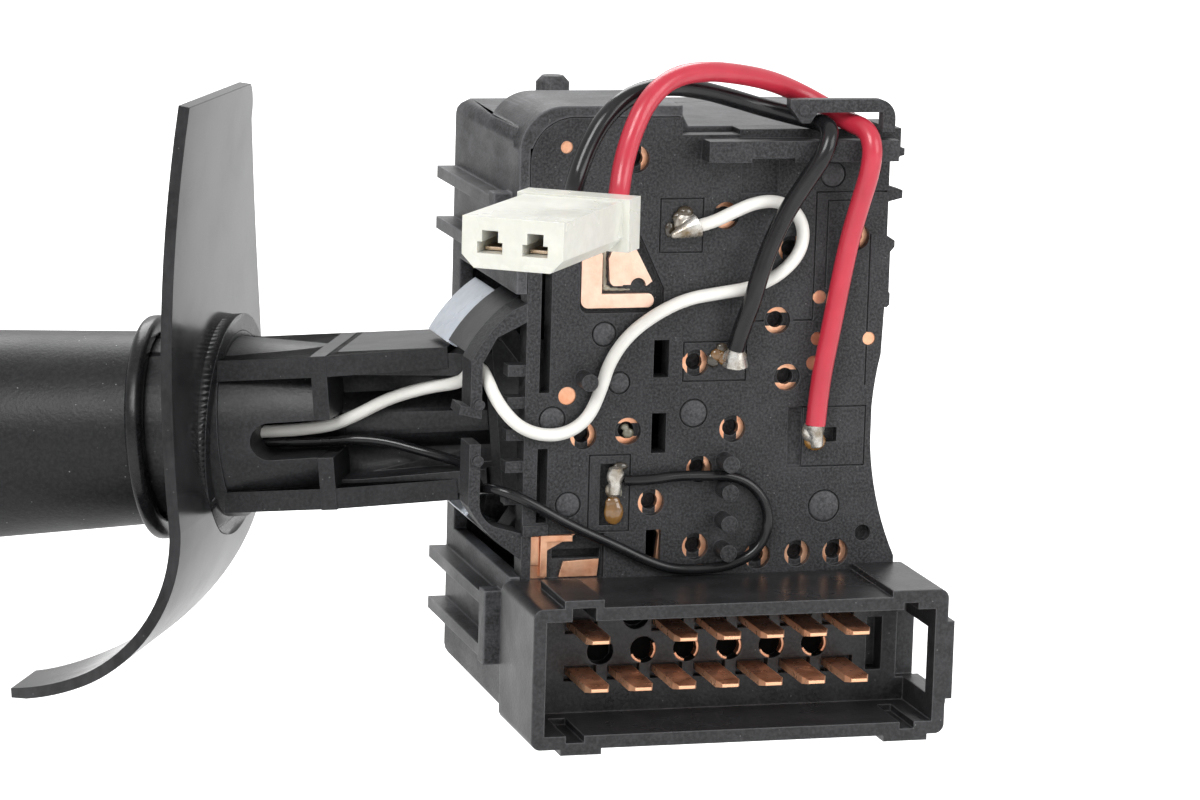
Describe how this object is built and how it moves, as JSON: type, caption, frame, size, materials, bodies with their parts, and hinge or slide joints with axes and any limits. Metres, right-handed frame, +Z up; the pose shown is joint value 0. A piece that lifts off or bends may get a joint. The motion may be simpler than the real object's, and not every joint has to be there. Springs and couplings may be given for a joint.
{
  "type": "combination stalk switch",
  "caption": "Column switch with a turn and flash stalk, twist light knob, press button in its tip, bladed connector, slot shield and a short two-way lead.",
  "frame": {"origin": "on the turn pivot's axis, at the casing's face towards the steering wheel", "axes": "+X right along the plate as seen from the connector side, +Y towards the steering wheel, +Z up"},
  "size_m": [0.1839, 0.1254, 0.0763],
  "materials": {
    "filled_nylon": "fine grain",
    "satin_black": "satin",
    "gloss_black": "glossy",
    "acetal": "smooth",
    "natural_nylon": "translucent",
    "clear_nylon": "translucent",
    "copper": "bright copper",
    "tinned_brass": "bright",
    "solder": "bright",
    "steel": "ground",
    "red_insulation": "satin",
    "black_insulation": "satin",
    "white_insulation": "satin"
  },
  "bodies": {
    "housing": {"contact_plate": "filled_nylon", "connector_shroud": "filled_nylon", "front_casing": "filled_nylon", "upper_blades": "tinned_brass", "lower_blades": "tinned_brass", "lead_frame": "copper", "copper_pad": "copper", "lower_contact": "copper", "cable_hook": "filled_nylon", "wire_bracket": "filled_nylon", "detent_block": "acetal", "pawl_pin": "steel", "red_lead": "red_insulation", "black_lead": "black_insulation", "horn_wire_white": "white_insulation", "horn_wire_black": "black_insulation", "plug_housing": "natural_nylon", "plug_terminals": "tinned_brass", "solder_joints": "solder"},
    "turn_carrier": {"turn_carrier": "acetal", "sector_shutter": "clear_nylon", "flash_pin": "steel", "detent_spring": "steel"},
    "stalk": {"stalk_core": "filled_nylon", "slot_shield": "gloss_black", "shield_collar": "satin_black", "stop_flange": "satin_black", "stalk_grip": "satin_black", "horn_rings": "tinned_brass", "neck_wire_white": "white_insulation", "neck_wire_black": "black_insulation"},
    "fog_ring": {"fog_ring": "satin_black"},
    "light_knob": {"light_knob": "satin_black", "light_rod": "steel", "knob_drive_pin": "steel", "horn_spring": "steel"},
    "horn_button": {"horn_button": "satin_black", "horn_bridge": "tinned_brass"},
    "detent_plunger": {"detent_plunger": "acetal"},
    "cancel_pawl": {"cancel_pawl": "acetal"}
  },
  "joints": [
    {"name": "turn_pivot", "type": "hinge", "parent": "housing", "child": "turn_carrier", "pos_m": [0, -0.0175, 0], "axis": [0, 1, 0], "range_deg": [-14, 14]},
    {"name": "flash_pivot", "type": "hinge", "parent": "turn_carrier", "child": "stalk", "pos_m": [-0.00451, -0.0154, -0.00049], "axis": [0.0884, -0.0412, -0.9952], "range_deg": [0, 8], "stiffness_Nm_per_rad": 0.9, "springref_deg": -9.74},
    {"name": "fog_turn", "type": "hinge", "parent": "stalk", "child": "fog_ring", "pos_m": [-0.09471, 0.02666, -0.01025], "axis": [-0.902, 0.4206, -0.0976], "range_deg": [0, 40]},
    {"name": "light_turn", "type": "hinge", "parent": "stalk", "child": "light_knob", "pos_m": [-0.11726, 0.03718, -0.01269], "axis": [-0.902, 0.4206, -0.0976], "range_deg": [0, 60]},
    {"name": "horn_press", "type": "slide", "parent": "light_knob", "child": "horn_button", "axis": [0.902, -0.4206, 0.0976], "range_m": [0, 0.0025], "stiffness_N_per_m": 700, "springref_m": -0.001, "deforming": ["horn_spring"]},
    {"name": "detent_slide", "type": "slide", "parent": "turn_carrier", "child": "detent_plunger", "axis": [1, 0, 0], "range_m": [0, 0.0012], "stiffness_N_per_m": 900, "springref_m": -0.001, "deforming": ["detent_spring"]},
    {"name": "pawl_swing", "type": "hinge", "parent": "housing", "child": "cancel_pawl", "pos_m": [0.026, -0.0065, 0], "axis": [0, 1, 0], "range_deg": [-20, 20], "stiffness_Nm_per_rad": 0.004}
  ]
}
